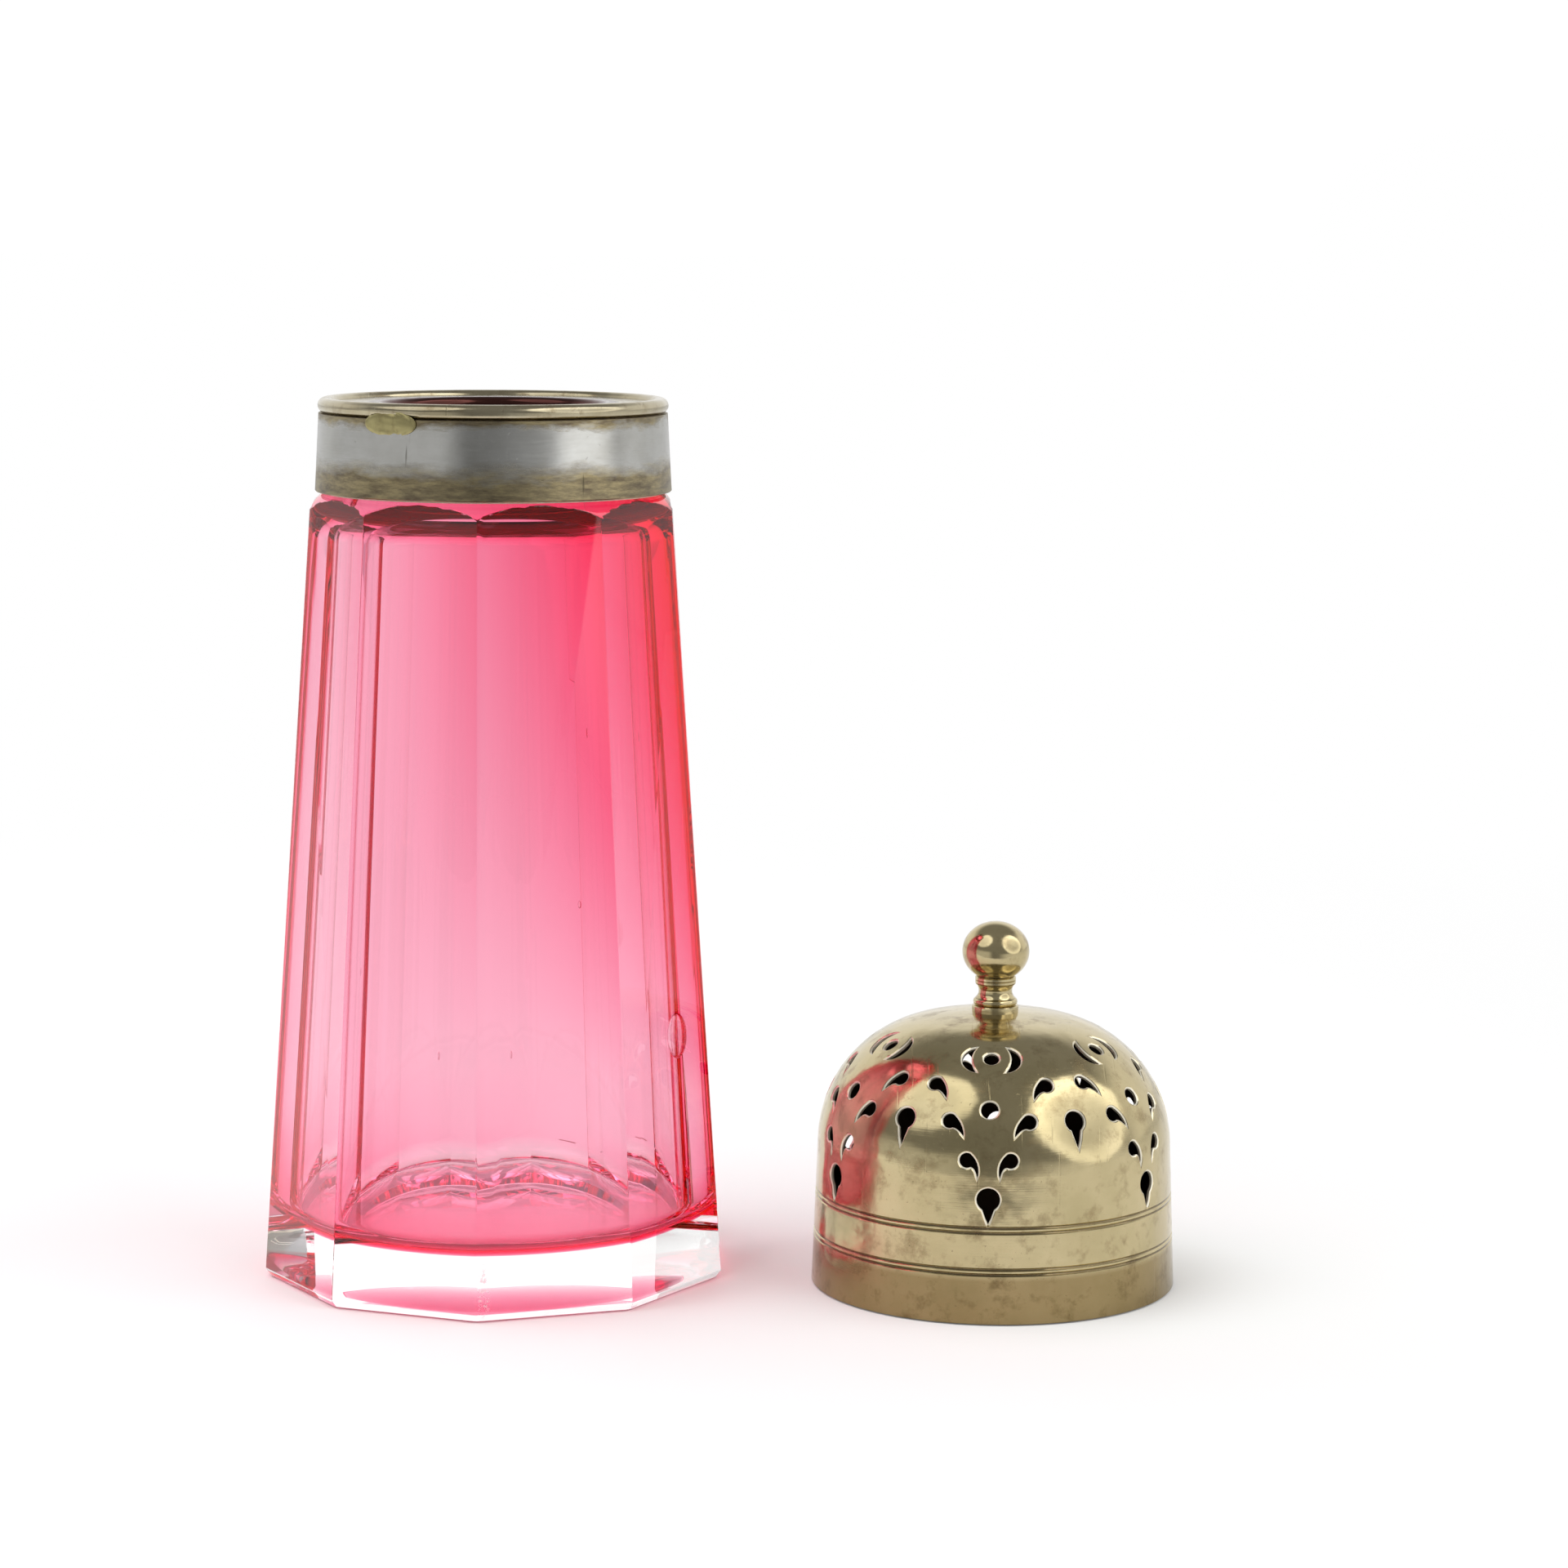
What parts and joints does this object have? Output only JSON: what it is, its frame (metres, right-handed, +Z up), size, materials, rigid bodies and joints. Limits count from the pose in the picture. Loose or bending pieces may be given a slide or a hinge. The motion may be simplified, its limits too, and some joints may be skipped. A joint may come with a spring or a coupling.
{
  "type": "sugar caster",
  "caption": "Sugar caster with a tapered, flat-cut, ruby-lined glass body, a metal collar and a pierced domed cap with a ball finial, cap standing beside it.",
  "frame": {"origin": "centre of the glass body's resting face, on the bottle's axis", "axes": "+Z up along the bottle's axis, +X towards the cap that stands beside it, -Y towards the viewer"},
  "size_m": [0.1255, 0.0648, 0.1209],
  "materials": {
    "clear_glass": "polished clear cut glass",
    "ruby_glass": "transparent cranberry glass",
    "plaster": "matt cream plaster",
    "collar_metal": "worn silver-grey nickel silver with brown tarnish",
    "cap_metal": "polished nickel silver, warm and tarnished"
  },
  "bodies": {
    "bottle": {"glass_body": "clear_glass", "ruby_lining": "ruby_glass", "neck_plaster": "plaster", "collar_band": "collar_metal", "collar_rim": "collar_metal"},
    "cap": {"pierced_cap": "cap_metal", "finial": "cap_metal", "finial_nut": "cap_metal"}
  },
  "joints": [
    {"name": "cap_lift", "type": "slide", "parent": "bottle", "child": "cap", "axis": [0, 0, 1], "range_m": [0, 0.125]}
  ]
}
